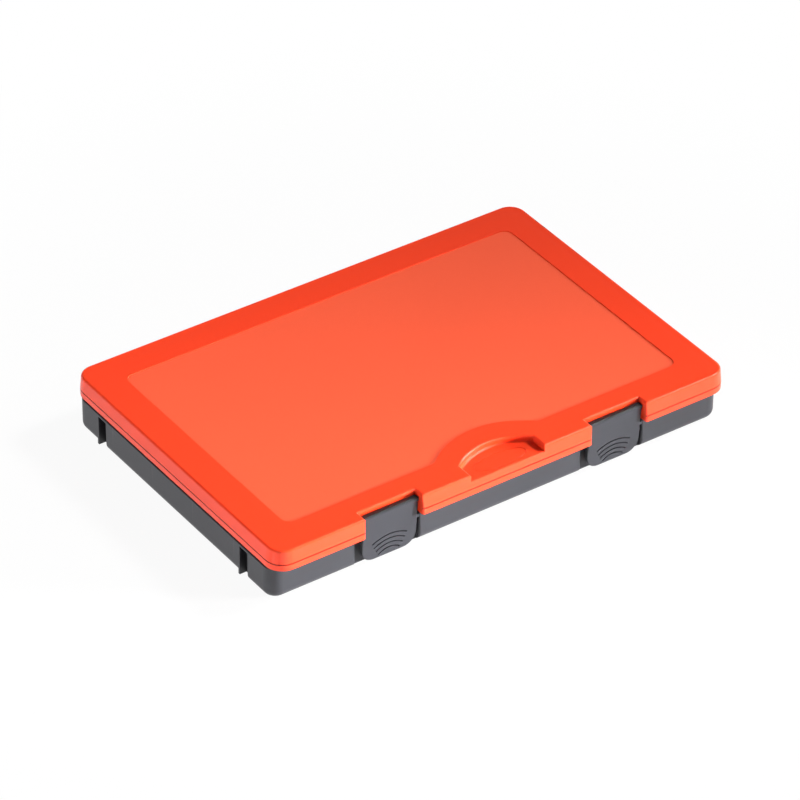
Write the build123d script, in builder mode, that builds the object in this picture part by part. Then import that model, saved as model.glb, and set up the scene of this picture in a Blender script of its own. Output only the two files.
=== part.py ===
from build123d import *
import os
from math import atan2, cos, degrees, radians, sin, tan

# Flat storage box: a shallow tray with removable dividers, a hinged lid and two snap latches.
# X runs along the box, Y from front to back, Z up. The origin is under the middle of the lid,
# on the plane that the box stands on. Sizes are in millimetres.

# Whole box and lid
lid_length = 356.0
lid_width = 240.0
lid_height = 15.0
box_height = 42.0
lid_corner_radius = 12.5
lid_wall = 1.6
lid_top_thickness = 2.0
lid_top_inset = 0.9
lid_edge_radius = 1.5
rim_band_height = 4.4
crease_height = 0.6
crease_depth = 0.5

# Recessed panel in the lid's top
panel_side_border = 24.0
panel_front_border = 24.5
panel_depth = 0.5
panel_corner_radius = 7.0
panel_arc_radius = 57.5
panel_arc_reach = 41.0

# Finger recess in the lid's front edge
recess_width = 57.4
recess_straight = 13.2
recess_reach = 24.0
recess_depth = 4.65
recess_edge_radius = 0.8
recess_foot_chamfer = 0.9
recess_ring_length = 40.0
recess_ring_width = 14.5
recess_ring_place = 9.6
recess_ring_groove = 0.5
recess_ring_depth = 0.25

# Latches and the notches they hang in
latch_spacing = 177.0
latch_width = 42.0
latch_thickness = 2.2
latch_setback = 4.0
latch_lean = 4.0
latch_drop = 2.9
latch_ground_gap = 2.0
latch_flange_depth = 4.0
latch_barrel_radius = 1.9
latch_corner_radius = 10.0
latch_edge_chamfer = 0.6
notch_side_gap = 0.8
notch_depth = 9.2
mouth_radius = 1.6
mouth_gap = 0.05
trunnion_diameter = 2.4
trunnion_clearance = 0.05
trunnion_end_gap = 0.3
hook_top_z = 19.6
hook_height = 2.6
hook_engagement = 1.1
hook_side_overhang = 0.7
keeper_gap = 0.3
keeper_height = 2.1
grip_arc_count = 4
grip_arc_radius = 12.3
grip_arc_radius_step = 4.2
grip_arc_pitch = 3.6
grip_arc_half_angle = 41.5
grip_arc_angle_step = 3.1
grip_arc_width = 0.9
grip_arc_depth = 0.8
grip_arc_apex_height = 5.7

# Tray
tray_side_inset = 1.0
tray_front_inset = 8.0
tray_back_inset = 2.7
tray_corner_radius = 9.0
tray_edge_radius = 6.0
tray_floor = 2.2
tray_inner_chamfer = 2.0
lip_inset = 1.6
lip_wall = 1.3
shadow_gap = 3.0
shoulder_chamfer = 0.4
lid_seat_gap = 0.3
latch_pocket_side_gap = 3.6
latch_pocket_depth = 3.6
latch_pocket_edge_radius = 1.6

# Grooves in the end walls, each with one footed rib
groove_spacing = 167.0
groove_width = 9.0
groove_depth = 5.0
groove_top_gap = 1.7
groove_wall = 1.6
foot_rib_width = 1.6

# Rear hinges
hinge_spacing = 177.0
hinge_barrel_radius = 3.0
hinge_axis_inset = 3.6
lid_knuckle_length = 16.0
tray_knuckle_length = 12.0
knuckle_gap = 0.4
hinge_pin_diameter = 2.4
hinge_pin_clearance = 0.06
hinge_pin_seat_clearance = 0.01
hinge_pocket_end_gap = 2.6
hinge_pocket_depth = 6.4
hinge_web_height = 4.0
hinge_web_back = 1.0

# Dividers and the guide ribs that hold them
row_pitch = 47.6
long_divider_count = 4
long_divider_thickness = 1.6
cross_divider_thickness = 1.4
divider_top_gap = 0.6
divider_end_gap = 0.3
slot_clearance = 0.15
guide_rib_width = 1.2
guide_rib_depth = 1.2
guide_rib_top_gap = 2.0
stations_each_side = 3
outer_row_stations = (-3, 0, 3)
inner_row_stations = (-2, 0, 2)

# Places worked out from the sizes above
lid_front_y = -lid_width / 2
lid_back_y = lid_width / 2
lid_edge_z = box_height - lid_height
panel_floor_z = box_height - panel_depth
lid_ceiling_z = panel_floor_z - lid_top_thickness
recess_floor_z = box_height - recess_depth
skirt_start_z = lid_edge_z + rim_band_height + crease_height
skirt_taper = degrees(atan2(lid_top_inset, box_height - skirt_start_z))
notch_width = latch_width + 2 * notch_side_gap
latch_face_y = lid_front_y + latch_setback
latch_top_z = box_height - latch_drop
latch_axis_y = latch_face_y + latch_barrel_radius
latch_axis_z = latch_top_z - latch_barrel_radius
latch_lean_angle = radians(latch_lean)
latch_plane = Plane(
    (0, latch_face_y, latch_axis_z), (1, 0, 0), (0, -cos(latch_lean_angle), -sin(latch_lean_angle))
)
latch_length = (latch_axis_z - latch_ground_gap) / cos(latch_lean_angle)
hook_root_y = latch_face_y + latch_thickness / 2 + (latch_axis_z - hook_top_z) * tan(latch_lean_angle)
latch_places = {"left": -latch_spacing / 2, "right": latch_spacing / 2}
hinge_places = {"left": -hinge_spacing / 2, "right": hinge_spacing / 2}

tray_length = lid_length - 2 * tray_side_inset
tray_front_y = lid_front_y + tray_front_inset
tray_back_y = lid_back_y - tray_back_inset
tray_depth = tray_back_y - tray_front_y
tray_middle_y = (tray_front_y + tray_back_y) / 2
tray_wall = lip_inset + lip_wall
shoulder_z = lid_edge_z - shadow_gap
lip_top_z = recess_floor_z - lid_wall - lid_seat_gap
inner_length = tray_length - 2 * tray_wall
inner_front_y = tray_front_y + tray_wall
inner_back_y = tray_back_y - tray_wall
latch_pocket_width = latch_width + 2 * latch_pocket_side_gap
hinge_length = lid_knuckle_length + 2 * (knuckle_gap + tray_knuckle_length)
hinge_pocket_width = hinge_length + 2 * hinge_pocket_end_gap
hinge_pocket_y = tray_back_y - hinge_pocket_depth
hinge_axis_y = lid_back_y - hinge_axis_inset
hinge_axis_z = lid_edge_z - hinge_barrel_radius
hook_tip_y = tray_front_y + hook_engagement
groove_top_z = shoulder_z - groove_top_gap

divider_top_z = lip_top_z - divider_top_gap
guide_rib_top_z = divider_top_z - guide_rib_top_gap
divider_corner_chamfer = tray_inner_chamfer + slot_clearance
station_pitch = inner_length / (2 * stations_each_side + 2)
first_long_divider_y = tray_middle_y - (long_divider_count - 1) / 2 * row_pitch
long_divider_ys = [first_long_divider_y + number * row_pitch for number in range(long_divider_count)]
stations = [number * station_pitch for number in range(-stations_each_side, stations_each_side + 1)]
row_fronts = [inner_front_y] + [y + long_divider_thickness / 2 for y in long_divider_ys]
row_backs = [y - long_divider_thickness / 2 for y in long_divider_ys] + [inner_back_y]
long_slot_offset = long_divider_thickness / 2 + slot_clearance + guide_rib_width / 2
cross_slot_offset = cross_divider_thickness / 2 + slot_clearance + guide_rib_width / 2

os.makedirs("parts", exist_ok=True)


def finish(builder, name):
    """Names a finished piece and writes it."""
    builder.part.label = name
    export_step(builder.part, f"parts/{name}.step")


def clear_of_pockets(x, spacing, width):
    """Tells whether guide ribs at x stand beside the wall's two pockets, not in them."""
    reach = width / 2 + tray_wall + cross_slot_offset + guide_rib_width
    return abs(abs(x) - spacing / 2) > reach


def divider_ends(front, back, x):
    """Gives the two y ends of a cross divider at x, which stops at a pocket where its wall has one."""
    if front == inner_front_y and not clear_of_pockets(x, latch_spacing, latch_pocket_width):
        front += latch_pocket_depth
    if back == inner_back_y and not clear_of_pockets(x, hinge_spacing, hinge_pocket_width):
        back -= hinge_pocket_depth
    return front + divider_end_gap, back - divider_end_gap


def round_mouth(plan, x, front_y, width, radius):
    """Rounds the two corners where an opening at x meets a front wall's face, in its plan."""
    mouth_y = front_y - mouth_gap
    with Locations((x, mouth_y)):
        Rectangle(width + 6 * radius, box_height, align=(Align.CENTER, Align.MAX))
    corners = plan.vertices().filter_by_position(Axis.Y, mouth_y - mouth_gap, mouth_y + mouth_gap)
    fillet(corners.sort_by(lambda corner: abs(corner.X - x))[:2], radius)


def recess_floor_face(shell):
    """Finds the level floor of the finger recess."""
    level_faces = shell.faces().filter_by(Plane.XY)
    return level_faces.sort_by(lambda face: abs(face.center().Z - recess_floor_z))[0]


# Outline of the finger recess, which the lid's top and its hollow both follow
with BuildSketch() as recess_outline:
    with BuildLine():
        arc_ends_y = lid_front_y + recess_straight
        Polyline(
            (-recess_width / 2, arc_ends_y),
            (-recess_width / 2, lid_front_y - recess_straight),
            (recess_width / 2, lid_front_y - recess_straight),
            (recess_width / 2, arc_ends_y),
        )
        ThreePointArc(
            (recess_width / 2, arc_ends_y),
            (0, lid_front_y + recess_reach),
            (-recess_width / 2, arc_ends_y),
        )
    make_face()

# Hollow under the lid, which goes round the notches and under the finger recess
with BuildPart() as lid_hollow:
    with BuildSketch(Plane.XY.offset(lid_edge_z)):
        RectangleRounded(lid_length - 2 * lid_wall, lid_width - 2 * lid_wall, lid_corner_radius - lid_wall)
    extrude(amount=lid_ceiling_z - lid_edge_z, taper=skirt_taper)
    with BuildSketch(Plane.XY.offset(lid_edge_z)):
        with Locations(*[(x, lid_front_y) for x in latch_places.values()]):
            Rectangle(notch_width + 2 * lid_wall, 2 * (notch_depth + lid_wall))
    extrude(amount=lid_height, mode=Mode.SUBTRACT)
    with BuildSketch(Plane.XY.offset(recess_floor_z - lid_wall)):
        add(recess_outline.sketch)
        offset(amount=lid_wall)
    extrude(amount=lid_height, mode=Mode.SUBTRACT)

# Lid shell with its two rear knuckles
with BuildPart() as lid:
    with BuildSketch(Plane.XY.offset(lid_edge_z)):
        RectangleRounded(lid_length, lid_width, lid_corner_radius)
    extrude(amount=rim_band_height)
    with BuildSketch(Plane.XY.offset(lid_edge_z + rim_band_height)):
        RectangleRounded(
            lid_length - 2 * crease_depth, lid_width - 2 * crease_depth, lid_corner_radius - crease_depth
        )
    extrude(amount=crease_height)
    with BuildSketch(Plane.XY.offset(skirt_start_z)):
        RectangleRounded(lid_length, lid_width, lid_corner_radius)
    extrude(amount=box_height - skirt_start_z, taper=skirt_taper)
    with BuildSketch(Plane.XY.offset(recess_floor_z)):
        add(recess_outline.sketch)
    extrude(amount=lid_height, mode=Mode.SUBTRACT)
    with BuildSketch(Plane.XY.offset(lid_edge_z)) as notches:
        with Locations(*[(x, lid_front_y) for x in latch_places.values()]):
            Rectangle(notch_width, 2 * notch_depth)
    extrude(amount=lid_height, mode=Mode.SUBTRACT)
    fillet(lid.faces().sort_by(Axis.Z)[-1].edges(), lid_edge_radius)
    # Upright corners of the notches and of the finger recess, rounded where they meet the front
    with BuildSketch(Plane.XY.offset(lid_edge_z)) as notch_mouths:
        add(notches.sketch_local)
        for x in latch_places.values():
            round_mouth(notch_mouths, x, lid_front_y, notch_width, mouth_radius)
    extrude(amount=lid_height, mode=Mode.SUBTRACT)
    with BuildSketch(Plane.XY.offset(recess_floor_z)) as recess_mouth:
        add(recess_outline.sketch)
        round_mouth(recess_mouth, 0, lid_front_y, recess_width, mouth_radius)
    extrude(amount=lid_height, mode=Mode.SUBTRACT)
    with BuildSketch(Plane.XY.offset(panel_floor_z)) as panel:
        Rectangle(lid_length - 2 * panel_side_border, lid_width - 2 * panel_front_border)
        with Locations((0, lid_front_y + panel_arc_reach - panel_arc_radius)):
            Circle(panel_arc_radius, mode=Mode.SUBTRACT)
        fillet(panel.vertices(), panel_corner_radius)
    extrude(amount=lid_height, mode=Mode.SUBTRACT)
    recess_floor = recess_floor_face(lid)
    chamfer(recess_floor.edges().sort_by(Axis.Y)[-1], recess_foot_chamfer)
    recess_floor = recess_floor_face(lid)
    fillet(recess_floor.edges().sort_by(Axis.Y)[0], recess_edge_radius)
    with BuildSketch(Plane.XY.offset(recess_floor_z)):
        with Locations((0, lid_front_y + recess_ring_place)):
            Ellipse(recess_ring_length / 2, recess_ring_width / 2)
            Ellipse(
                recess_ring_length / 2 - recess_ring_groove,
                recess_ring_width / 2 - recess_ring_groove,
                mode=Mode.SUBTRACT,
            )
    extrude(amount=-recess_ring_depth, mode=Mode.SUBTRACT)
    add(lid_hollow.part, mode=Mode.SUBTRACT)
    for x in latch_places.values():
        with BuildSketch(Plane.YZ.offset(x - notch_width / 2 - lid_wall)):
            with Locations((latch_axis_y, latch_axis_z)):
                Circle(trunnion_diameter / 2 + trunnion_clearance)
        extrude(amount=notch_width + 2 * lid_wall, mode=Mode.SUBTRACT)
    for x in hinge_places.values():
        with BuildSketch(Plane.YZ.offset(x - lid_knuckle_length / 2)):
            with Locations((hinge_axis_y, hinge_axis_z)):
                Circle(hinge_barrel_radius)
                Rectangle(
                    hinge_barrel_radius + hinge_web_back,
                    lid_edge_z + hinge_web_height - hinge_axis_z,
                    align=(Align.CENTER, Align.MIN),
                )
                Circle(hinge_pin_diameter / 2 + hinge_pin_clearance, mode=Mode.SUBTRACT)
        extrude(amount=lid_knuckle_length)
finish(lid, "lid")

# Latches: a bent clip with a trunnion at each end of its barrel and a hook behind its face
for side, x in latch_places.items():
    with BuildPart() as latch:
        with BuildSketch(latch_plane) as face:
            with Locations((x, 0)):
                Rectangle(latch_width, latch_length, align=(Align.CENTER, Align.MAX))
            fillet(face.vertices().group_by(Axis.Y)[0], latch_corner_radius)
        extrude(amount=-latch_thickness)
        front = latch.faces().sort_by(Axis(latch_plane.origin, latch_plane.z_dir))[-1]
        chamfer(front.edges().sort_by(Axis.Z)[:-1], latch_edge_chamfer)
        with BuildSketch(Plane.YZ.offset(x - latch_width / 2)):
            with Locations((latch_axis_y, latch_axis_z)):
                Circle(latch_barrel_radius)
                Rectangle(
                    latch_flange_depth - latch_barrel_radius,
                    latch_barrel_radius,
                    align=(Align.MIN, Align.MIN),
                )
        extrude(amount=latch_width)
        with BuildSketch(Plane.YZ.offset(x - latch_width / 2 - hook_side_overhang)):
            with BuildLine():
                Polyline(
                    (hook_root_y, hook_top_z),
                    (hook_tip_y, hook_top_z),
                    (hook_root_y, hook_top_z - hook_height),
                    close=True,
                )
            make_face()
        extrude(amount=latch_width + 2 * hook_side_overhang)
        trunnion_reach = notch_side_gap + lid_wall - trunnion_end_gap
        with BuildSketch(Plane.YZ.offset(x - latch_width / 2 - trunnion_reach)):
            with Locations((latch_axis_y, latch_axis_z)):
                Circle(trunnion_diameter / 2)
        extrude(amount=latch_width + 2 * trunnion_reach)
        with BuildSketch(latch_plane):
            for number in range(grip_arc_count):
                half_angle = grip_arc_half_angle - number * grip_arc_angle_step
                radius = grip_arc_radius + number * grip_arc_radius_step
                apex = grip_arc_apex_height + number * grip_arc_pitch - latch_length
                with BuildLine():
                    CenterArc((x, apex - radius), radius, 90 - half_angle, 2 * half_angle)
                trace(line_width=grip_arc_width)
        extrude(amount=-grip_arc_depth, mode=Mode.SUBTRACT)
    finish(latch, f"latch_{side}")

# Hollow of the tray, which goes round the pockets and the grooves
with BuildPart() as tray_hollow:
    with BuildSketch(Plane.XY.offset(tray_floor)):
        with Locations((0, tray_middle_y)):
            RectangleRounded(inner_length, inner_back_y - inner_front_y, tray_corner_radius - tray_wall)
    extrude(amount=box_height)
    chamfer(tray_hollow.faces().sort_by(Axis.Z)[0].edges(), tray_inner_chamfer)
    with BuildSketch(Plane.XY.offset(tray_floor)):
        with Locations(*[(x, tray_front_y) for x in latch_places.values()]):
            Rectangle(latch_pocket_width + 2 * tray_wall, 2 * (latch_pocket_depth + tray_wall))
        with Locations(*[(x, tray_back_y) for x in hinge_places.values()]):
            Rectangle(hinge_pocket_width + 2 * tray_wall, 2 * (hinge_pocket_depth + tray_wall))
    extrude(amount=box_height, mode=Mode.SUBTRACT)
    with BuildSketch(Plane.XY.offset(tray_floor)):
        with Locations((0, tray_middle_y)):
            with GridLocations(tray_length, groove_spacing, 2, 2):
                Rectangle(2 * (groove_depth + groove_wall), groove_width + 2 * groove_wall)
    extrude(amount=groove_top_z + groove_wall - tray_floor, mode=Mode.SUBTRACT)

# Tray shell
with BuildPart() as tray:
    with BuildSketch():
        with Locations((0, tray_middle_y)):
            RectangleRounded(tray_length, tray_depth, tray_corner_radius)
    extrude(amount=shoulder_z)
    fillet(tray.faces().sort_by(Axis.Z)[0].edges(), tray_edge_radius)
    chamfer(tray.faces().sort_by(Axis.Z)[-1].edges(), shoulder_chamfer)
    with BuildSketch(Plane.XY.offset(shoulder_z)):
        with Locations((0, tray_middle_y)):
            RectangleRounded(
                tray_length - 2 * lip_inset, tray_depth - 2 * lip_inset, tray_corner_radius - lip_inset
            )
    extrude(amount=lip_top_z - shoulder_z)
    with BuildSketch() as pockets:
        with Locations(*[(x, tray_front_y) for x in latch_places.values()]):
            Rectangle(latch_pocket_width, 2 * latch_pocket_depth)
        for x in latch_places.values():
            round_mouth(pockets, x, tray_front_y, latch_pocket_width, latch_pocket_edge_radius)
        with Locations(*[(x, tray_back_y) for x in hinge_places.values()]):
            Rectangle(hinge_pocket_width, 2 * hinge_pocket_depth)
    extrude(amount=box_height, mode=Mode.SUBTRACT)
    # Grooves in the end walls and the square-footed rib at the back of each
    with BuildSketch():
        with Locations((0, tray_middle_y)):
            with GridLocations(tray_length, groove_spacing, 2, 2):
                Rectangle(2 * groove_depth, groove_width)
    extrude(amount=groove_top_z, mode=Mode.SUBTRACT)
    with BuildSketch():
        with Locations((0, tray_middle_y + (groove_width + foot_rib_width) / 2)):
            with GridLocations(tray_length - tray_edge_radius, groove_spacing, 2, 2):
                Rectangle(tray_edge_radius, foot_rib_width)
    extrude(amount=groove_top_z)
    add(tray_hollow.part, mode=Mode.SUBTRACT)
    # Keeper bar across each latch pocket, just above the hook
    with BuildSketch(Plane.XY.offset(hook_top_z + keeper_gap)):
        with Locations(*[(x, tray_front_y) for x in latch_places.values()]):
            Rectangle(latch_pocket_width, latch_pocket_depth, align=(Align.CENTER, Align.MIN))
    extrude(amount=keeper_height)
    # Guide ribs on the end walls for the long dividers
    with BuildSketch(Plane.XY.offset(tray_floor)):
        for y in long_divider_ys:
            with Locations((0, y)):
                with GridLocations(inner_length - guide_rib_depth, 2 * long_slot_offset, 2, 2):
                    Rectangle(guide_rib_depth, guide_rib_width)
    extrude(amount=guide_rib_top_z - tray_floor)
    # Guide ribs on the front and back walls for the cross dividers of the outer rows
    with BuildSketch(Plane.XY.offset(tray_floor)):
        for x in stations:
            if clear_of_pockets(x, latch_spacing, latch_pocket_width):
                with Locations(*[(x + end * cross_slot_offset, inner_front_y) for end in (-1, 1)]):
                    Rectangle(guide_rib_width, guide_rib_depth, align=(Align.CENTER, Align.MIN))
            if clear_of_pockets(x, hinge_spacing, hinge_pocket_width):
                with Locations(*[(x + end * cross_slot_offset, inner_back_y) for end in (-1, 1)]):
                    Rectangle(guide_rib_width, guide_rib_depth, align=(Align.CENTER, Align.MAX))
    extrude(amount=guide_rib_top_z - tray_floor)
    # Knuckles on lugs in the rear pockets
    knuckle_middle = (lid_knuckle_length + tray_knuckle_length) / 2 + knuckle_gap
    for x in hinge_places.values():
        for end in (-1, 1):
            start = x + end * knuckle_middle - tray_knuckle_length / 2
            with BuildSketch(Plane.YZ.offset(start)):
                with Locations((hinge_axis_y, hinge_axis_z)):
                    Circle(hinge_barrel_radius)
                    Rectangle(
                        hinge_axis_y - hinge_pocket_y,
                        2 * hinge_barrel_radius,
                        align=(Align.MAX, Align.CENTER),
                    )
                    Circle(hinge_pin_diameter / 2 + hinge_pin_seat_clearance, mode=Mode.SUBTRACT)
            extrude(amount=tray_knuckle_length)
finish(tray, "tray")

# Hinge pins
for side, x in hinge_places.items():
    with BuildPart() as hinge_pin:
        with BuildSketch(Plane.YZ.offset(x - hinge_length / 2)):
            with Locations((hinge_axis_y, hinge_axis_z)):
                Circle(hinge_pin_diameter / 2)
        extrude(amount=hinge_length)
    finish(hinge_pin, f"hinge_pin_{side}")

# Long dividers, with pairs of guide ribs for the cross dividers on both faces
for number, y in enumerate(long_divider_ys, start=1):
    with BuildPart() as long_divider:
        with BuildSketch(Plane.XZ.offset(-y)) as plate:
            with Locations((0, tray_floor)):
                Rectangle(
                    inner_length - 2 * divider_end_gap,
                    divider_top_z - tray_floor,
                    align=(Align.CENTER, Align.MIN),
                )
            chamfer(plate.vertices().group_by(Axis.Y)[0], divider_corner_chamfer)
        extrude(amount=long_divider_thickness / 2, both=True)
        with BuildSketch(Plane.XY.offset(tray_floor)):
            for x in stations:
                with Locations((x, y)):
                    with GridLocations(2 * cross_slot_offset, 0, 2, 1):
                        Rectangle(guide_rib_width, long_divider_thickness + 2 * guide_rib_depth)
        extrude(amount=guide_rib_top_z - tray_floor)
    finish(long_divider, f"long_divider_{number}")

# Cross dividers, three in each row
for row, (front, back) in enumerate(zip(row_fronts, row_backs), start=1):
    outer_row = row in (1, len(row_fronts))
    for place, station in zip("abc", outer_row_stations if outer_row else inner_row_stations):
        x = station * station_pitch
        start, end = divider_ends(front, back, x)
        with BuildPart() as cross_divider:
            with BuildSketch(Plane.YZ.offset(x)) as plate:
                with Locations((start, tray_floor)):
                    Rectangle(end - start, divider_top_z - tray_floor, align=(Align.MIN, Align.MIN))
                chamfer(plate.vertices().group_by(Axis.Y)[0], divider_corner_chamfer)
            extrude(amount=cross_divider_thickness / 2, both=True)
        finish(cross_divider, f"cross_divider_{row}{place}")
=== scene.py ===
"""Finishes for a flat storage box: moulded plastic, drawn steel and the marks that moulding leaves.

The box itself is the fixed frame that is loaded below. Lengths are in metres unless a name says otherwise.
"""
import math

import bmesh
import bpy
from bpy.props import FloatProperty, FloatVectorProperty, IntProperty, PointerProperty
from mathutils import Matrix, Vector


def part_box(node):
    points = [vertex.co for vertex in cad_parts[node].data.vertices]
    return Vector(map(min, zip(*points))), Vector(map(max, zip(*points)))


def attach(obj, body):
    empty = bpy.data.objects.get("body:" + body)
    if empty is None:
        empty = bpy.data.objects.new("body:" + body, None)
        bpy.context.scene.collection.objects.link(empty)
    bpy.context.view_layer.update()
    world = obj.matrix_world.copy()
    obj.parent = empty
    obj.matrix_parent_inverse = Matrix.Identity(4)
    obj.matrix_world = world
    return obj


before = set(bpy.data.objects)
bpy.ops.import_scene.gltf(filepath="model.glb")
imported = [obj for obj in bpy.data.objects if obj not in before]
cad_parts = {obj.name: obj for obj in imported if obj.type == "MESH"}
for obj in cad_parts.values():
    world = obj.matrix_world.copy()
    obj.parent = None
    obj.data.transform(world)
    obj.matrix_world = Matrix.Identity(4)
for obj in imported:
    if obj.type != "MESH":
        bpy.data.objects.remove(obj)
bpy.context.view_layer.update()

bl_info = {
    "name": "Storage Box Finishes",
    "version": (1, 0, 0),
    "blender": (4, 5, 0),
    "location": "View3D > Sidebar > Storage Box",
    "description": "Dresses a flat storage box and sets it on a studio floor",
    "category": "Object",
}


def nodes_called(start):
    """The names of the loaded nodes that begin with a word, in order."""
    return sorted(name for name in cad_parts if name.startswith(start))


MILLIMETRE = 0.001
LID_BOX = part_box("lid")
TRAY_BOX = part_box("tray")
LATCH_SIDES = ("left", "right")
LONG_DIVIDERS = nodes_called("long_divider")
CROSS_DIVIDERS = nodes_called("cross_divider")
HINGE_PINS = nodes_called("hinge_pin")
DIVIDER_YS = [(low.y + high.y) / 2 for low, high in map(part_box, LONG_DIVIDERS)]
DIVIDERS_MIDDLE = (DIVIDER_YS[0] + DIVIDER_YS[-1]) / 2
ROW_PITCH = DIVIDER_YS[1] - DIVIDER_YS[0]

# Share by which a slow drift makes a colour darker and lighter
LID_DRIFT = 0.03
GREY_DRIFT = 0.07
FLOOR_DRIFT = 0.005

# Lightness of a place beside that of the plain material
SPECKLE_LIGHTNESS = 0.9
# Painted sheen that lightens the sink marks
SINK_SHEEN_LIGHTNESS = 1.3
# Painted shade in the end walls' grooves and the latches' grip arcs
PAINTED_SHADE_LIGHTNESS = 0.15
# Painted shade on a latch's flange
FLANGE_SHADE_LIGHTNESS = 0.1
SCRATCH_LIGHTNESS = 0.85

# Heights in a relief beside that of the full grain
PEEL_HEIGHT = 0.3
GREY_GRAIN_HEIGHT = 0.35
SINK_HEIGHT = 2

# Span over which a noise varies a roughness
LID_GRAIN_SPAN = 0.06
GREY_GRAIN_SPAN = 0.1
GREY_FLOW_SPAN = 0.06
SCRATCH_SPAN = 0.2

# Squeeze of a noise along x, y and z, where a small number draws it out
FLOW_SQUEEZE = (1, 1, 0.35)
SCRATCH_SQUEEZE = (0.03, 1, 1)

# Share of the panel's drop within which a point counts as part of the panel
PANEL_REACH = 1 / 8

# How near a point must be to count as part of a face
END_FACE_REACH = 0.3 * MILLIMETRE
GROOVE_SIDE_REACH = 0.05 * MILLIMETRE
GROOVE_FLOOR_REACH = 0.2 * MILLIMETRE
FLANGE_REACH = 0.6 * MILLIMETRE

# Where the painted shade on a latch's flange begins and is full, as shares of the bend's radius
FLANGE_SHADE_START = 0.2
FLANGE_SHADE_FULL = 0.5

# Outline of a gate mark from its foot to its top, as shares of its radius and its height
GATE_OUTLINE = ((1, -0.5), (1, 0.55), (0.8, 0.88), (0.4, 1))

# The field of ejector marks under the lid, as shares of the lid's length and width
LID_MARKS_LENGTH = 0.8
LID_MARKS_WIDTH = 0.5
LID_MARKS_SHIFT = 0.1

WHITE = (1, 1, 1, 1)
NOISE_MEAN = 0.5
FLOOR_SIDES = 64
FLOOR_GAP = 0.05 * MILLIMETRE
OPEN_FACE = math.pi
SENSOR_MILLIMETRES = 36
FAR_CLIP = 20


def colour_property(name, description, default):
    """A colour that a user would change, in linear light."""
    return FloatVectorProperty(
        name=name, description=description, subtype="COLOR", size=3, min=0, max=1, default=default
    )


def share_property(name, description, default):
    """A number from 0 to 1 that a user would change."""
    return FloatProperty(name=name, description=description, subtype="FACTOR", min=0, max=1, default=default)


def length_property(name, description, millimetres):
    """A length that a user would change, given in millimetres and kept in metres."""
    return FloatProperty(
        name=name,
        description=description,
        unit="LENGTH",
        subtype="DISTANCE",
        precision=5,
        default=millimetres * MILLIMETRE,
    )


def angle_property(name, description, degrees):
    """An angle that a user would change, given in degrees and kept in radians."""
    return FloatProperty(name=name, description=description, subtype="ANGLE", default=math.radians(degrees))


def power_property(name, description, watts):
    """The power of a light that a user would change."""
    return FloatProperty(name=name, description=description, unit="POWER", default=watts)


def count_property(name, description, default, least=1):
    """A whole number that a user would change."""
    return IntProperty(name=name, description=description, min=least, default=default)


class LidLooks(bpy.types.PropertyGroup):
    """Colours, gloss and texture of the lid."""

    border_colour: colour_property("Border", "Colour of the glossy border and skirt", (0.95, 0.055, 0.0145))
    # The panel colour is the plastic's own colour made paler, a painted sheen of its texture.
    panel_colour: colour_property("Panel", "Colour of the textured panel", (0.96, 0.107, 0.041))
    # The crease colour is painted shade: a dark line along the lid's crease.
    crease_colour: colour_property("Crease", "Colour of the soiled crease", (0.36, 0.012, 0.004))
    border_roughness: share_property("Border roughness", "Roughness of the polished surfaces", 0.3)
    panel_roughness: share_property("Panel roughness", "Roughness of the textured panel", 0.52)
    speckle: share_property("Speckle", "How much the grain darkens the panel", 0.5)
    corner_radius: length_property("Corner radius", "Radius of the lid's corners seen from above", 12.5)
    panel_drop: length_property("Panel drop", "How far the panel lies below the border", 0.5)
    panel_border: length_property("Panel border", "Least width of the border round the panel", 23)
    crease_drop: length_property("Crease drop", "How far the crease lies below the lid's top", 10.35)
    # Width and reach of the line of painted shade along the crease.
    crease_width: length_property("Crease width", "Width of the soiled line along the crease", 0.9)
    crease_depth: length_property("Crease depth", "How far in from the lid's outline the soil reaches", 0.9)
    grain_size: length_property("Grain size", "Size of the panel's fine grain", 0.7)
    peel_size: length_property("Flow size", "Size of the faint waves in the polished surfaces", 9)
    drift_size: length_property("Drift size", "Size of the slow changes in colour", 90)
    relief: length_property("Relief", "Depth of the panel's grain", 0.02)


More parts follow.
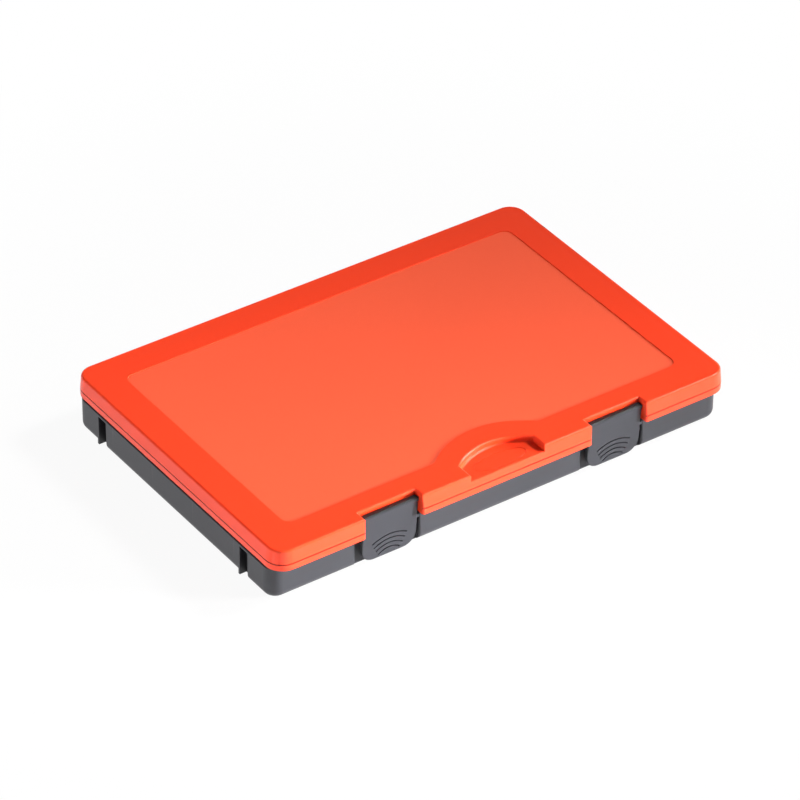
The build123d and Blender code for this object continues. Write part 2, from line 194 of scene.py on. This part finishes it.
class GreyLooks(bpy.types.PropertyGroup):
    """Colours, gloss and texture of the grey pieces."""

    tray_colour: colour_property("Tray", "Colour of the tray", (0.037, 0.0375, 0.044))
    latch_colour: colour_property("Latches", "Colour of the latches", (0.031, 0.0315, 0.038))
    divider_colour: colour_property("Dividers", "Colour of the dividers", (0.057, 0.0575, 0.066))
    roughness: share_property("Roughness", "Roughness of the moulded grey surfaces", 0.46)
    grain_size: length_property("Grain size", "Size of the fine moulded grain", 0.8)
    flow_size: length_property("Flow size", "Size of the slow changes in colour", 38)
    relief: length_property("Relief", "Depth that a full grain would have", 0.03)
    sink_width: length_property("Sink width", "Width of a sink mark on the end walls", 3.2)
    sink_foot: length_property("Sink foot", "Height at which a sink mark begins", 6)
    sink_head: length_property("Sink head", "Height from which a sink mark is full", 20)
    # Sink share is how much a painted sheen lightens a sink mark.
    sink_share: share_property("Sink share", "How much lighter a sink mark looks", 0.5)
    groove_spacing: length_property("Groove spacing", "Between the two grooves of an end wall", 167)
    groove_width: length_property("Groove width", "Width of a groove in an end wall", 9)
    groove_depth: length_property("Groove depth", "Depth of a groove in an end wall", 5)
    # How dark the painted shade inside the end walls' grooves is.
    groove_soil: share_property("Groove soil", "How much soil lies in the end walls' grooves", 0.75)
    latch_lean: angle_property("Latch lean", "How far a latch's face leans", 4)
    latch_bend: length_property("Latch bend", "Radius of the bend at a latch's top", 1.9)
    latch_flange: length_property("Latch flange", "Depth of the flange at a latch's top", 4)
    # How dark the painted shade on a latch's flange is.
    flange_soil: share_property("Flange soil", "How much soil lies on a latch's flange", 0.9)
    grip_depth: length_property("Grip depth", "Depth of the grip arcs in a latch's face", 0.8)
    # How dark the painted shade inside the grip arcs is.
    grip_soil: share_property("Grip soil", "How much soil lies in the grip arcs", 0.85)


class SteelLooks(bpy.types.PropertyGroup):
    """Colour and gloss of the hinge pins."""

    colour: colour_property("Steel", "Colour of the drawn steel", (0.62, 0.62, 0.64))
    roughness: share_property("Roughness", "Roughness of the drawn steel", 0.28)
    scratch_size: length_property("Scratch size", "Spacing of the drawing lines", 0.25)
    relief: length_property("Relief", "Depth of the drawing lines", 0.004)


class MarkSizes(bpy.types.PropertyGroup):
    """Sizes of the marks that moulding leaves."""

    pin_radius: length_property("Pin radius", "Radius of an ejector pin's mark", 3)
    pin_height: length_property("Pin height", "How far an ejector pin's mark stands proud", 0.12)
    pin_sides: count_property("Pin sides", "Sides of an ejector mark's outline", 32, least=8)
    tray_columns: count_property("Tray columns", "Marks along the tray", 8)
    lid_columns: count_property("Lid columns", "Marks along the lid", 6)
    lid_rows: count_property("Lid rows", "Marks across the lid", 3)
    lid_thickness: length_property("Lid thickness", "From the lid's top to its ceiling", 2.5)
    gate_radius: length_property("Gate radius", "Radius of a latch's gate mark", 1)
    gate_height: length_property("Gate height", "How far a latch's gate mark stands proud", 0.4)
    gate_inset: length_property("Gate inset", "From the flange's back edge to the gate mark's middle", 1.2)
    gate_sides: count_property("Gate sides", "Sides of a gate mark's outline", 24, least=8)


class StageLooks(bpy.types.PropertyGroup):
    """Floor, light and camera."""

    floor_colour: colour_property("Floor", "Colour of the floor", (0.92, 0.92, 0.92))
    floor_radius: length_property("Floor radius", "From the box to the wall round the floor", 6000)
    floor_tooth: length_property("Floor tooth", "Size of the floor paper's grain", 1.5)
    wall_height: length_property("Wall height", "Height of the wall round the floor", 1900)
    floor_veil: share_property("Floor veil", "How much of the shadow the white floor swallows", 0.94)
    veil_near: length_property("Veil near", "How far from the box's middle the veil begins to close", 200)
    veil_far: length_property("Veil far", "How far from the box's middle the floor is all white", 500)
    world_strength: FloatProperty(name="World", description="Strength of the even light", default=0.1, min=0)
    key_power: power_property("Key", "Power of the right light", 11.2)
    key_spread: angle_property("Key spread", "Beam of the right light", 16)
    front_power: power_property("Front", "Power of the front light", 2.05)
    front_spread: angle_property("Front spread", "Beam of the front light", 25)
    side_power: power_property("Side", "Power of the left light", 16)
    edge_power: power_property("Edge", "Power of the small light", 1.5)
    camera_azimuth: angle_property("Azimuth", "Camera's turn from the front", -35.17)
    camera_elevation: angle_property("Elevation", "Camera's height angle", 35.93)
    camera_roll: angle_property("Roll", "Camera's turn about its view", 0.57)
    camera_aim: length_property("Aim height", "Height of the point that the camera is set by", 27)
    camera_distance: length_property("Distance", "From the camera to that point", 3257.5)
    camera_right: length_property("Right", "How far the camera is moved to the right", -0.77)
    camera_up: length_property("Up", "How far the camera is moved up", -7.26)
    camera_lens: FloatProperty(name="Lens", description="Focal length in millimetres", default=223.83, min=1)


class Wire:
    """A node's output, with Python arithmetic that adds Math nodes."""

    def __init__(self, sheet, socket):
        self.sheet = sheet
        self.socket = socket

    def math(self, operation, *values):
        return self.sheet.node("ShaderNodeMath", {"operation": operation}, *values).Value

    def __add__(self, other):
        return self.math("ADD", self, other)

    def __radd__(self, other):
        return self.math("ADD", other, self)

    def __sub__(self, other):
        return self.math("SUBTRACT", self, other)

    def __rsub__(self, other):
        return self.math("SUBTRACT", other, self)

    def __mul__(self, other):
        return self.math("MULTIPLY", self, other)

    def __lt__(self, other):
        return self.math("LESS_THAN", self, other)

    def __gt__(self, other):
        return self.math("GREATER_THAN", self, other)

    def __abs__(self):
        return self.math("ABSOLUTE", self)

    def at_least(self, floor):
        return self.math("MAXIMUM", self, floor)

    def to_and_fro(self, span):
        """Rises from 0 to span, falls to 0 again and so on."""
        return self.math("PINGPONG", self, span)


class Outputs:
    """A node's outputs by name, with underscores for spaces."""

    def __init__(self, sheet, node):
        self.sheet = sheet
        self.made = node

    def __getattr__(self, name):
        return Wire(self.sheet, self.made.outputs[name.replace("_", " ")])


class NodeSheet:
    """A node tree that is filled by one method."""

    def __init__(self, tree):
        self.tree = tree
        self.tree.nodes.clear()

    def node(self, kind, settings=None, *values, **named):
        """Adds a node. Settings come first, then socket values or links by place and by name."""
        made = self.tree.nodes.new(kind)
        for key, setting in (settings or {}).items():
            setattr(made, key, setting)
        for place, value in enumerate(values):
            self.feed(made.inputs[place], value)
        for name, value in named.items():
            self.feed(made.inputs[name.replace("_", " ")], value)
        return Outputs(self, made)

    def feed(self, socket, value):
        """Links a wire to a socket, or sets the socket to a plain value."""
        if isinstance(value, Wire):
            self.tree.links.new(value.socket, socket)
        else:
            socket.default_value = value


def opaque(colour, lightness=1.0):
    """A colour as four numbers, made lighter or darker."""
    return tuple(min(1.0, part * lightness) for part in colour) + (1.0,)


def varied(value, noise, amount):
    """A value that a noise from 0 to 1 moves by half of amount to either side."""
    return value + (noise - NOISE_MEAN) * amount


class Finish(NodeSheet):
    """A surface material whose patterns lie in the object's own coordinates."""

    def __init__(self, name):
        self.material = bpy.data.materials.new(name)
        self.material.use_nodes = True
        super().__init__(self.material.node_tree)
        self.place = self.node("ShaderNodeTexCoord").Object
        axes = self.node("ShaderNodeSeparateXYZ", None, self.place)
        self.x, self.y, self.z = axes.X, axes.Y, axes.Z

    def noise(self, size, detail=2.0, squeeze=(1, 1, 1)):
        """A noise from 0 to 1 whose features are about as large as size."""
        place = self.node("ShaderNodeMapping", None, Vector=self.place, Scale=squeeze).Vector
        texture = self.node(
            "ShaderNodeTexNoise", None, Vector=place, Scale=1 / size, Detail=detail, Roughness=0.55
        )
        return texture.Fac

    def ramp_up(self, value, low, high):
        """Smoothly 0 below low and 1 above high."""
        settings = {"interpolation_type": "SMOOTHSTEP"}
        ramp = self.node("ShaderNodeMapRange", settings, Value=value, From_Min=low, From_Max=high)
        return ramp.Result

    def blend(self, share, first, second):
        """A colour between two colours."""
        mix = self.node("ShaderNodeMix", {"data_type": "RGBA"})
        for name, value in (("Factor_Float", share), ("A_Color", first), ("B_Color", second)):
            socket = next(s for s in mix.made.inputs if s.identifier == name)
            self.feed(socket, value)
        return Wire(self, next(s for s in mix.made.outputs if s.identifier == "Result_Color"))

    def drifting(self, colour, noise, amount):
        """A colour that a noise makes darker and lighter, each by a share."""
        return self.blend(noise, opaque(colour, 1 - amount), opaque(colour, 1 + amount))

    def near_outline(self, box, corner_radius, depth):
        """1 within depth of the outline that a box with rounded corners has from above, 0 elsewhere."""
        past_x = (abs(self.x) - (box[1].x - corner_radius)).at_least(0)
        past_y = (abs(self.y) - (box[1].y - corner_radius)).at_least(0)
        return (past_x * past_x + past_y * past_y) > (corner_radius - depth) ** 2

    def bump(self, height, depth):
        """A normal from a height between 0 and 1, which stands for depth in metres."""
        return self.node("ShaderNodeBump", None, Height=height, Distance=depth, Strength=1.0).Normal

    def close(self, **sockets):
        """Joins a Principled shader to the output and gives the material."""
        shader = self.node("ShaderNodeBsdfPrincipled", None, **sockets)
        self.node("ShaderNodeOutputMaterial", None, Surface=shader.BSDF)
        return self.material


class GreyFinish(Finish):
    """Satin grey plastic with a fine grain, to which a piece's own marks are added."""

    def __init__(self, name, colour, looks):
        super().__init__(name)
        self.colour = colour
        self.looks = looks
        self.grain = self.noise(looks.grain_size, detail=3)
        self.flow = self.noise(looks.flow_size, detail=2, squeeze=FLOW_SQUEEZE)
        self.tone = self.drifting(colour, self.flow, GREY_DRIFT)
        self.height = self.grain * GREY_GRAIN_HEIGHT

    def shade(self, share, lightness):
        """Makes the colour lighter or darker, as far as a share from 0 to 1 says."""
        self.tone = self.blend(share, self.tone, opaque(self.colour, lightness))

    def done(self):
        """Gives the material with all that was added."""
        roughness = varied(self.looks.roughness, self.grain, GREY_GRAIN_SPAN)
        return self.close(
            Base_Color=self.tone,
            Roughness=varied(roughness, self.flow, GREY_FLOW_SPAN),
            Normal=self.bump(self.height, self.looks.relief),
            IOR=1.5,
        )


def lid_plastic(looks):
    """Glossy orange-red plastic with a finely textured panel, painted paler for its sheen, and painted shade
    along the crease.
    """
    sheet = Finish("lid_plastic")
    high = LID_BOX[1]
    level = abs(sheet.z - (high.z - looks.panel_drop)) < looks.panel_drop * PANEL_REACH
    along = abs(sheet.x) < high.x - looks.panel_border
    across = abs(sheet.y) < high.y - looks.panel_border
    panel = level * along * across
    grain = sheet.noise(looks.grain_size, detail=3)
    peel = sheet.noise(looks.peel_size, detail=1)
    drift = sheet.noise(looks.drift_size, detail=1)
    # Painted shade: a dark line along the crease, near the lid's outline.
    line = abs(sheet.z - (high.z - looks.crease_drop)) < looks.crease_width / 2
    crease = line * sheet.near_outline(LID_BOX, looks.corner_radius, looks.crease_depth)
    polished = sheet.drifting(looks.border_colour, drift, LID_DRIFT)
    border = sheet.blend(crease, polished, opaque(looks.crease_colour))
    # Painted sheen: the panel's colour is paler than the border's.
    textured = sheet.drifting(looks.panel_colour, drift, LID_DRIFT)
    speckled = sheet.blend(grain * looks.speckle, textured, opaque(looks.panel_colour, SPECKLE_LIGHTNESS))
    roughness = looks.border_roughness + panel * (looks.panel_roughness - looks.border_roughness)
    height = panel * grain + (1 - panel) * peel * PEEL_HEIGHT
    return sheet.close(
        Base_Color=sheet.blend(panel, border, speckled),
        Roughness=varied(roughness, grain, LID_GRAIN_SPAN),
        Normal=sheet.bump(height, looks.relief),
        IOR=1.49,
    )


def tray_plastic(looks):
    """Grey plastic with a sink mark, a dent with a painted sheen, where each long divider meets an end wall,
    and painted shade in the grooves.
    """
    sheet = GreyFinish("tray_plastic", looks.tray_colour, looks)
    from_divider = (sheet.y - DIVIDER_YS[0]).to_and_fro(ROW_PITCH / 2)
    stripe = 1 - sheet.ramp_up(from_divider, 0, looks.sink_width / 2)
    from_middle = abs(sheet.y - DIVIDERS_MIDDLE)
    between = from_middle < ROW_PITCH * len(DIVIDER_YS) / 2
    outer = abs(sheet.x) > TRAY_BOX[1].x - END_FACE_REACH
    sink = stripe * between * outer * sheet.ramp_up(sheet.z, looks.sink_foot, looks.sink_head)
    # Painted sheen: the sink marks are lighter in colour; the dent itself is in the bump below.
    sheet.shade(sink * looks.sink_share, SINK_SHEEN_LIGHTNESS)
    sheet.height = sheet.height - sink * SINK_HEIGHT
    # Painted shade: the colour is darkened inside the end walls' grooves.
    from_groove = abs(from_middle - looks.groove_spacing / 2)
    aside = from_groove < looks.groove_width / 2 + GROOVE_SIDE_REACH
    inward = TRAY_BOX[1].x - abs(sheet.x)
    sunk = sheet.ramp_up(inward, END_FACE_REACH, looks.groove_depth / 2)
    painted_shade = aside * sunk * (inward < looks.groove_depth + GROOVE_FLOOR_REACH)
    sheet.shade(painted_shade * looks.groove_soil, PAINTED_SHADE_LIGHTNESS)
    return sheet.done()


def latch_plastic(looks, box):
    """Grey plastic with painted shade in the grip arcs and on the flange behind the bend."""
    sheet = GreyFinish("latch_plastic", looks.latch_colour, looks)
    low, high = box
    from_front = sheet.y - low.y
    from_bend = sheet.z - (high.z - looks.latch_bend)
    depth = from_front * math.cos(looks.latch_lean) + from_bend * math.sin(looks.latch_lean)
    # Painted shade: the colour is darkened inside the grip arcs.
    grips = abs(depth - looks.grip_depth) < looks.grip_depth / 2
    sheet.shade(grips * looks.grip_soil, PAINTED_SHADE_LIGHTNESS)
    # Painted shade: the colour is darkened on the flange behind the bend.
    flange = sheet.z > high.z - FLANGE_REACH
    start = looks.latch_bend * FLANGE_SHADE_START
    full = looks.latch_bend * FLANGE_SHADE_FULL
    painted_shade = flange * sheet.ramp_up(from_front, start, full)
    sheet.shade(painted_shade * looks.flange_soil, FLANGE_SHADE_LIGHTNESS)
    return sheet.done()


def divider_plastic(looks):
    """Plain grey plastic, a little lighter than the tray's."""
    return GreyFinish("divider_plastic", looks.divider_colour, looks).done()


def drawn_steel(looks):
    """Steel wire with fine lines along its length."""
    sheet = Finish("pin_steel")
    lines = sheet.noise(looks.scratch_size, detail=2, squeeze=SCRATCH_SQUEEZE)
    return sheet.close(
        Base_Color=sheet.blend(lines, opaque(looks.colour, SCRATCH_LIGHTNESS), opaque(looks.colour)),
        Roughness=varied(looks.roughness, lines, SCRATCH_SPAN),
        Metallic=1.0,
        Normal=sheet.bump(lines, looks.relief),
    )


def dress(nodes, material):
    """Gives loaded nodes one material."""
    for name in nodes:
        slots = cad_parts[name].data.materials
        slots.clear()
        slots.append(material)


def mark_tree():
    """Geometry nodes for a level grid of low round marks."""
    tree = bpy.data.node_groups.new("ejector_marks", "GeometryNodeTree")
    face = tree.interface
    for name, kind in (
        ("Columns", "NodeSocketInt"),
        ("Rows", "NodeSocketInt"),
        ("Length", "NodeSocketFloat"),
        ("Width", "NodeSocketFloat"),
        ("Centre", "NodeSocketVector"),
        ("Radius", "NodeSocketFloat"),
        ("Height", "NodeSocketFloat"),
        ("Sides", "NodeSocketInt"),
        ("Finish", "NodeSocketMaterial"),
    ):
        face.new_socket(name, in_out="INPUT", socket_type=kind)
    face.new_socket("Geometry", in_out="OUTPUT", socket_type="NodeSocketGeometry")
    sheet = NodeSheet(tree)
    given = sheet.node("NodeGroupInput")
    grid = sheet.node(
        "GeometryNodeMeshGrid",
        None,
        Size_X=given.Length,
        Size_Y=given.Width,
        Vertices_X=given.Columns,
        Vertices_Y=given.Rows,
    )
    mark = sheet.node(
        "GeometryNodeMeshCylinder", None, Vertices=given.Sides, Radius=given.Radius, Depth=given.Height
    )
    marks = sheet.node("GeometryNodeInstanceOnPoints", None, Points=grid.Mesh, Instance=mark.Mesh)
    placed = sheet.node("GeometryNodeTransform", None, Geometry=marks.Instances, Translation=given.Centre)
    real = sheet.node("GeometryNodeRealizeInstances", None, Geometry=placed.Geometry)
    done = sheet.node("GeometryNodeSetMaterial", None, Geometry=real.Geometry, Material=given.Finish)
    sheet.node("NodeGroupOutput", None, Geometry=done.Geometry)
    return tree


def mesh_from_tree(name, tree, **values):
    """Runs a tree once and keeps what it makes as a plain mesh."""
    piece = bpy.data.objects.new(name, bpy.data.meshes.new(name))
    bpy.context.scene.collection.objects.link(piece)
    modifier = piece.modifiers.new("marks", "NODES")
    modifier.node_group = tree
    for item in tree.interface.items_tree:
        if item.in_out == "INPUT":
            modifier[item.identifier] = values[item.name]
    graph = bpy.context.evaluated_depsgraph_get()
    made = bpy.data.meshes.new_from_object(piece.evaluated_get(graph), depsgraph=graph)
    piece.modifiers.clear()
    piece.data = made
    made.name = name
    return piece


def gate_mark(name, place, sizes, material):
    """A low round stub with a rounded top, left where plastic entered the mould."""
    shape = bmesh.new()
    sides = sizes.gate_sides
    rings = []
    for radius_share, height_share in GATE_OUTLINE:
        middle = place + Vector((0, 0, height_share * sizes.gate_height))
        ring = []
        for number in range(sides):
            turn = 2 * math.pi * number / sides
            across = Vector((math.cos(turn), math.sin(turn), 0)) * radius_share * sizes.gate_radius
            ring.append(shape.verts.new(middle + across))
        rings.append(ring)
    for lower, upper in zip(rings, rings[1:]):
        for number in range(sides):
            following = (number + 1) % sides
            shape.faces.new((lower[number], lower[following], upper[following], upper[number]))
    shape.faces.new(rings[-1])
    shape.faces.new(list(reversed(rings[0])))
    mesh = bpy.data.meshes.new(name)
    shape.to_mesh(mesh)
    shape.free()
    mesh.shade_smooth()
    mesh.materials.append(material)
    piece = bpy.data.objects.new(name, mesh)
    bpy.context.scene.collection.objects.link(piece)
    return piece


class DressLid(bpy.types.Operator):
    """Gives the lid its plastic"""

    bl_idname = "storage_box.dress_lid"
    bl_label = "Lid"

    def execute(self, context):
        dress(["lid"], lid_plastic(context.scene.box_lid))
        return {"FINISHED"}


class DressTray(bpy.types.Operator):
    """Gives the tray its plastic"""

    bl_idname = "storage_box.dress_tray"
    bl_label = "Tray"

    def execute(self, context):
        dress(["tray"], tray_plastic(context.scene.box_grey))
        return {"FINISHED"}


class DressLatches(bpy.types.Operator):
    """Gives the latches their plastic and the mark where each was filled"""

    bl_idname = "storage_box.dress_latches"
    bl_label = "Latches"

    def execute(self, context):
        looks = context.scene.box_grey
        sizes = context.scene.box_marks
        material = latch_plastic(looks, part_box("latch_left"))
        for side in LATCH_SIDES:
            body = f"latch_{side}"
            dress([body], material)
            low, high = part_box(body)
            flange_back = low.y + looks.latch_flange
            place = Vector(((low.x + high.x) / 2, flange_back - sizes.gate_inset, high.z))
            mark = gate_mark(f"{body}_gate_mark", place, sizes, material)
            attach(mark, body)
        return {"FINISHED"}


class DressDividers(bpy.types.Operator):
    """Gives the long and the cross dividers their plastic"""

    bl_idname = "storage_box.dress_dividers"
    bl_label = "Dividers"

    def execute(self, context):
        dress(LONG_DIVIDERS + CROSS_DIVIDERS, divider_plastic(context.scene.box_grey))
        return {"FINISHED"}


class DressHingePins(bpy.types.Operator):
    """Gives the hinge pins their steel"""

    bl_idname = "storage_box.dress_hinge_pins"
    bl_label = "Hinge Pins"

    def execute(self, context):
        dress(HINGE_PINS, drawn_steel(context.scene.box_steel))
        return {"FINISHED"}


class AddEjectorMarks(bpy.types.Operator):
    """Adds the round marks of the ejector pins inside the tray and under the lid"""

    bl_idname = "storage_box.add_ejector_marks"
    bl_label = "Ejector Marks"

    def execute(self, context):
        sizes = context.scene.box_marks
        tree = mark_tree()
        # A mark is sunk in its surface by as much as it stands proud
        pin = {"Radius": sizes.pin_radius, "Height": 2 * sizes.pin_height, "Sides": sizes.pin_sides}
        low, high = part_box(LONG_DIVIDERS[0])
        column_pitch = (high.x - low.x) / sizes.tray_columns
        tray_marks = mesh_from_tree(
            "tray_ejector_marks",
            tree,
            Columns=sizes.tray_columns,
            Rows=len(LONG_DIVIDERS) + 1,
            Length=column_pitch * (sizes.tray_columns - 1),
            Width=ROW_PITCH * len(LONG_DIVIDERS),
            Centre=(0, DIVIDERS_MIDDLE, low.z),
            Finish=bpy.data.materials["tray_plastic"],
            **pin,
        )
        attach(tray_marks, "base")
        length, width, _ = LID_BOX[1] - LID_BOX[0]
        lid_marks = mesh_from_tree(
            "lid_ejector_marks",
            tree,
            Columns=sizes.lid_columns,
            Rows=sizes.lid_rows,
            Length=LID_MARKS_LENGTH * length,
            Width=LID_MARKS_WIDTH * width,
            Centre=(0, LID_MARKS_SHIFT * width, LID_BOX[1].z - sizes.lid_thickness),
            Finish=bpy.data.materials["lid_plastic"],
            **pin,
        )
        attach(lid_marks, "lid")
        return {"FINISHED"}


class BuildStage(bpy.types.Operator):
    """Adds the floor, the light and the camera"""

    bl_idname = "storage_box.build_stage"
    bl_label = "Stage"

    def execute(self, context):
        stage = context.scene.box_stage
        add_floor(stage)
        add_world(stage)
        add_lights(stage)
        add_camera(stage)
        context.scene.view_settings.view_transform = "Standard"
        return {"FINISHED"}


def floor_paper(stage):
    """White paper that keeps a weak shadow near the box and looks pure white further away."""
    sheet = Finish("floor_paper")
    tooth = sheet.noise(stage.floor_tooth)
    colour = sheet.drifting(stage.floor_colour, tooth, FLOOR_DRIFT)
    paper = sheet.node("ShaderNodeBsdfPrincipled", None, Base_Color=colour, Roughness=0.9)
    white = sheet.node("ShaderNodeEmission", None, Color=WHITE, Strength=1.0)
    distance = sheet.node("ShaderNodeVectorMath", {"operation": "LENGTH"}, sheet.place).Value
    far = sheet.ramp_up(distance, stage.veil_near, stage.veil_far)
    ray = sheet.node("ShaderNodeLightPath")
    seen = ray.Is_Camera_Ray.at_least(ray.Is_Glossy_Ray).at_least(ray.Is_Transmission_Ray)
    veil = seen * (stage.floor_veil + far * (1 - stage.floor_veil))
    mixed = sheet.node("ShaderNodeMixShader", None, veil, paper.BSDF, white.Emission)
    sheet.node("ShaderNodeOutputMaterial", None, Surface=mixed.Shader)
    return sheet.material


def add_floor(stage):
    """A round white floor just under the box, with a low wall far round it."""
    turns = [2 * math.pi * number / FLOOR_SIDES for number in range(FLOOR_SIDES)]
    rim = [Vector((math.cos(turn), math.sin(turn), 0)) * stage.floor_radius for turn in turns]
    foot = [place - Vector((0, 0, FLOOR_GAP)) for place in rim]
    top = [place + Vector((0, 0, stage.wall_height)) for place in rim]
    faces = [tuple(range(FLOOR_SIDES))]
    for number in range(FLOOR_SIDES):
        following = (number + 1) % FLOOR_SIDES
        faces.append((following, number, FLOOR_SIDES + number, FLOOR_SIDES + following))
    mesh = bpy.data.meshes.new("floor")
    mesh.from_pydata(foot + top, [], faces)
    mesh.materials.append(floor_paper(stage))
    floor = bpy.data.objects.new("floor", mesh)
    bpy.context.scene.collection.objects.link(floor)


def add_world(stage):
    """Weak even light from all round."""
    world = bpy.data.worlds.new("studio")
    world.use_nodes = True
    bpy.context.scene.world = world
    sheet = NodeSheet(world.node_tree)
    background = sheet.node("ShaderNodeBackground", None, Color=WHITE, Strength=stage.world_strength)
    sheet.node("ShaderNodeOutputWorld", None, Surface=background.Background)


def add_lamp(name, power, place, aim, size, spread=OPEN_FACE, mirrored=True):
    """A rectangular light turned to a point. One that isn't mirrored lights without a reflection."""
    lamp = bpy.data.lights.new(name, "AREA")
    lamp.energy = power
    lamp.shape = "RECTANGLE"
    lamp.size, lamp.size_y = size
    lamp.spread = spread
    light = bpy.data.objects.new(name, lamp)
    light.location = place
    light.rotation_euler = (aim - light.location).to_track_quat("-Z", "Y").to_euler()
    light.visible_glossy = mirrored
    bpy.context.scene.collection.objects.link(light)


def add_lights(stage):
    """Two beams on the left front corner, a low fill at the left and a small light for bright edges."""
    middle = Vector((0, 0, 0.02))
    corner = Vector((-0.17, -0.12, 0.035))
    add_lamp(
        "right_light",
        stage.key_power,
        place=(5.2, -1.6, 4.7),
        aim=corner,
        size=(1.8, 1.8),
        spread=stage.key_spread,
    )
    add_lamp(
        "front_light",
        stage.front_power,
        place=(0.95, -0.95, 0.24),
        aim=corner,
        size=(0.35, 0.2),
        spread=stage.front_spread,
        mirrored=False,
    )
    add_lamp(
        "left_light",
        stage.side_power,
        place=(-1.8, 0, 0.15),
        aim=middle,
        size=(1.0, 0.3),
        mirrored=False,
    )
    add_lamp(
        "edge_light",
        stage.edge_power,
        place=(0.64, -0.71, 0.7),
        aim=middle,
        size=(0.12, 0.12),
    )


def add_camera(stage):
    """A long lens at the photograph's viewing angle."""
    turn, height, roll = stage.camera_azimuth, stage.camera_elevation, stage.camera_roll
    flat = math.cos(height)
    back = Vector((math.sin(turn) * flat, -math.cos(turn) * flat, math.sin(height)))
    level = Vector((math.cos(turn), math.sin(turn), 0))
    upright = back.cross(level)
    right = math.cos(roll) * level + math.sin(roll) * upright
    up = math.cos(roll) * upright - math.sin(roll) * level
    aim = Vector((0, 0, stage.camera_aim))
    place = aim + back * stage.camera_distance + right * stage.camera_right + up * stage.camera_up
    lens = bpy.data.cameras.new("camera")
    lens.lens = stage.camera_lens
    lens.sensor_width = SENSOR_MILLIMETRES
    lens.clip_end = FAR_CLIP
    camera = bpy.data.objects.new("camera", lens)
    axes = Matrix((right, up, back)).transposed().to_4x4()
    camera.matrix_world = Matrix.Translation(place) @ axes
    bpy.context.scene.collection.objects.link(camera)
    bpy.context.scene.camera = camera


OPERATORS = (
    DressLid,
    DressTray,
    DressLatches,
    DressDividers,
    DressHingePins,
    AddEjectorMarks,
    BuildStage,
)
LOOKS = {
    "box_lid": LidLooks,
    "box_grey": GreyLooks,
    "box_steel": SteelLooks,
    "box_marks": MarkSizes,
    "box_stage": StageLooks,
}


class StorageBoxPanel(bpy.types.Panel):
    """Lists the finishes of the storage box"""

    bl_idname = "VIEW3D_PT_storage_box"
    bl_label = "Storage Box"
    bl_space_type = "VIEW_3D"
    bl_region_type = "UI"
    bl_category = "Storage Box"

    def draw(self, context):
        for operator in OPERATORS:
            self.layout.operator(operator.bl_idname)
        for name, looks in LOOKS.items():
            box = self.layout.box()
            for setting in looks.__annotations__:
                box.prop(getattr(context.scene, name), setting)


CLASSES = (*LOOKS.values(), *OPERATORS, StorageBoxPanel)


def register():
    for made in CLASSES:
        bpy.utils.register_class(made)
    for name, looks in LOOKS.items():
        setattr(bpy.types.Scene, name, PointerProperty(type=looks))


def unregister():
    for name in LOOKS:
        delattr(bpy.types.Scene, name)
    for made in reversed(CLASSES):
        bpy.utils.unregister_class(made)


def main():
    """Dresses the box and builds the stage."""
    register()
    bpy.ops.storage_box.dress_lid()
    bpy.ops.storage_box.dress_tray()
    bpy.ops.storage_box.dress_latches()
    bpy.ops.storage_box.dress_dividers()
    bpy.ops.storage_box.dress_hinge_pins()
    bpy.ops.storage_box.add_ejector_marks()
    bpy.ops.storage_box.build_stage()


if __name__ == "__main__":
    main()
